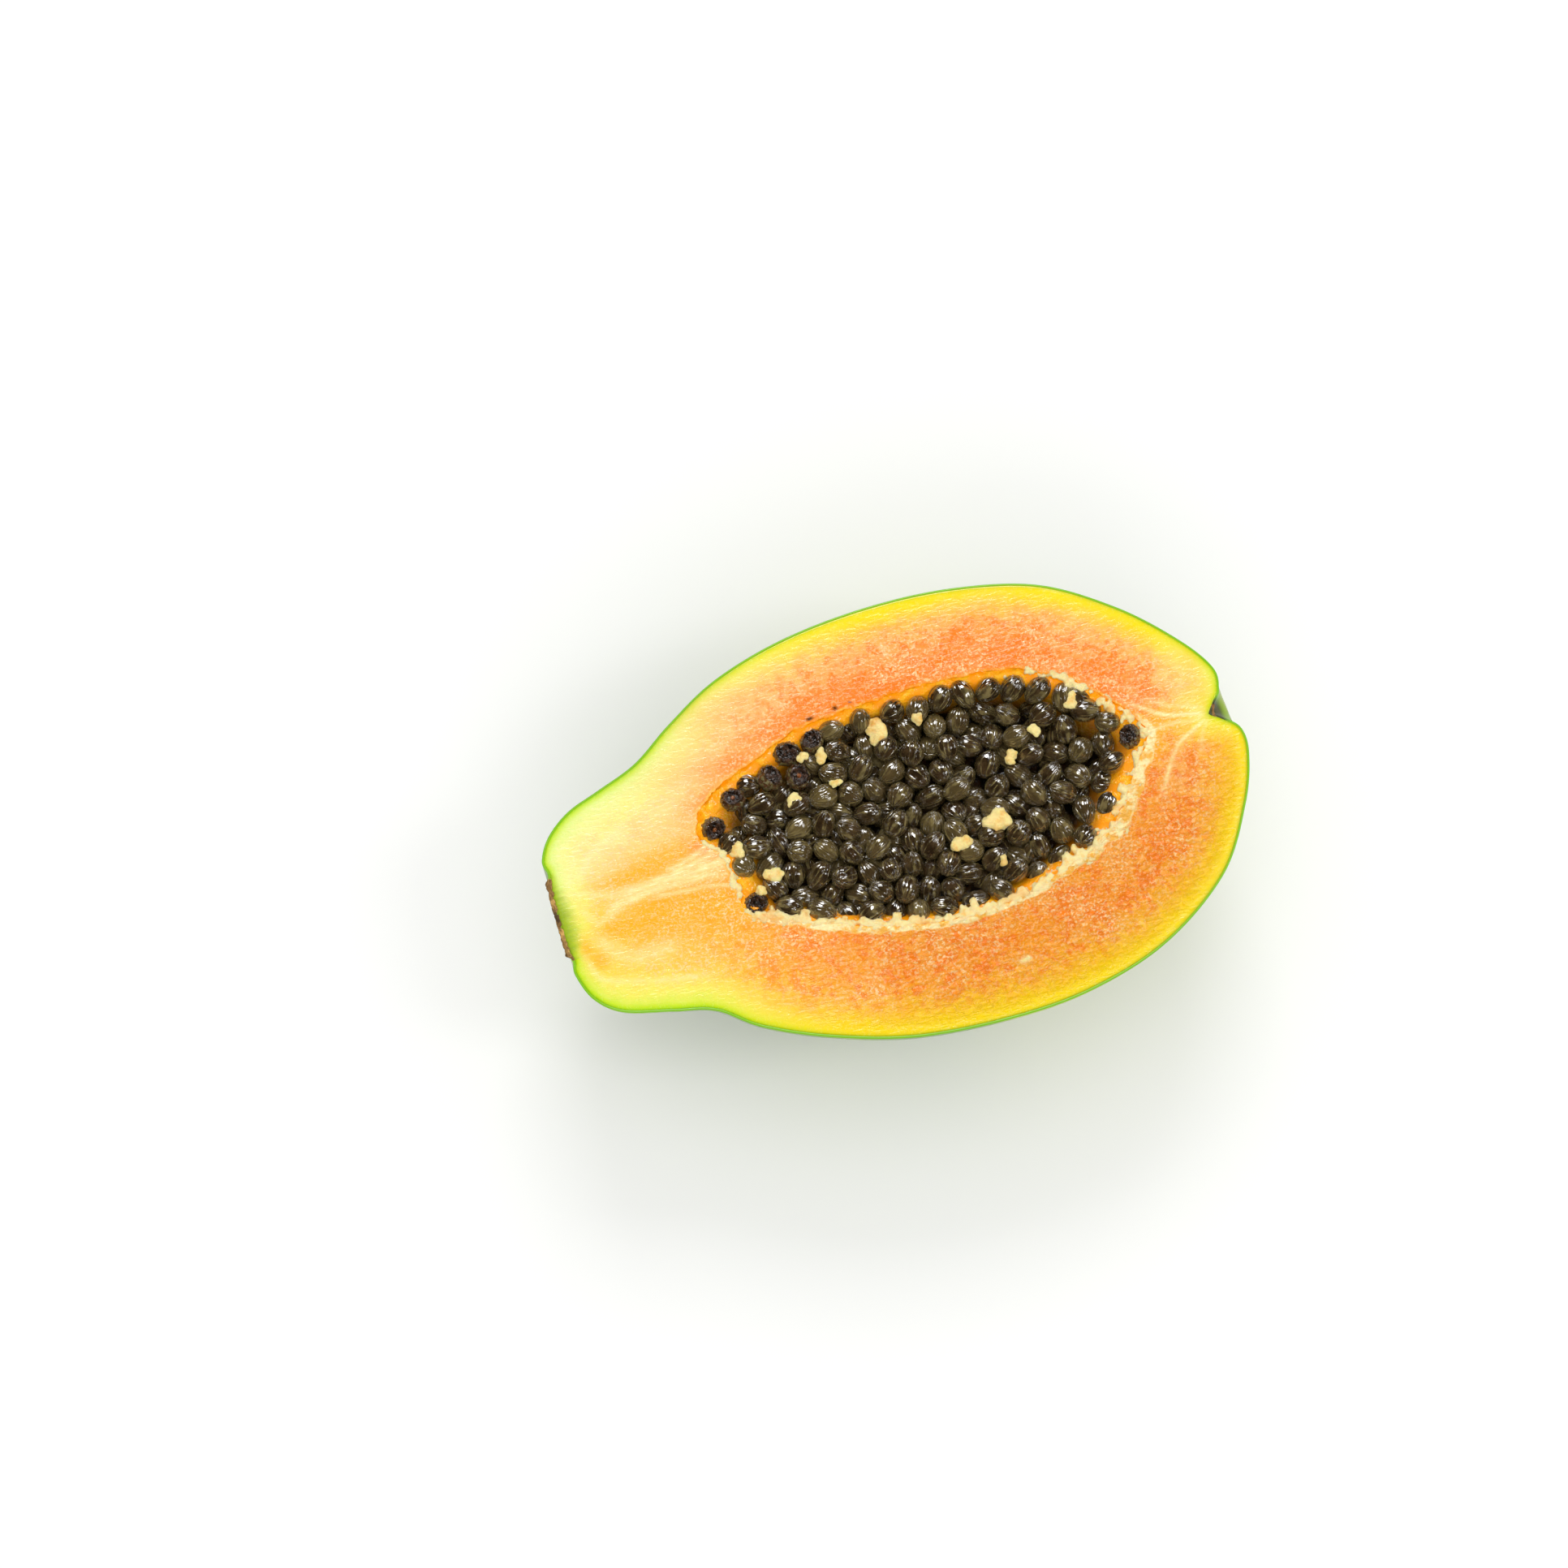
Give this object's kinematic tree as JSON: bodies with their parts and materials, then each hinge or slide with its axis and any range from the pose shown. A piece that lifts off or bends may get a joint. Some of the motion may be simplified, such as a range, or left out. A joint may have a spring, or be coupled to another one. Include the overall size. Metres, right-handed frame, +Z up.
{
  "type": "papaya half",
  "caption": "Half of a ripe papaya cut lengthwise, lying on its back with the cut face up: green skin, orange flesh, pale pith and a cavity full of dark seeds.",
  "frame": {"origin": "middle of the balance point over the small flat spot that the fruit's back rests on", "axes": "+X along the fruit's length from the stem end to the blossom end, +Y to the far side of the cut face, +Z up out of the cut face"},
  "size_m": [0.1681, 0.104, 0.0508],
  "materials": {
    "skin": "waxy green fruit skin with yellow patches",
    "flesh": "wet orange fruit flesh, yellow towards the skin",
    "pith": "torn cream pith",
    "scar": "dry brown cork of the stem scar and the blossom pit",
    "seed": "dark olive-brown seed with a glossy wet coat"
  },
  "bodies": {
    "root": {"fruit_half": "skin", "seeds": "seed"}
  },
  "joints": []
}
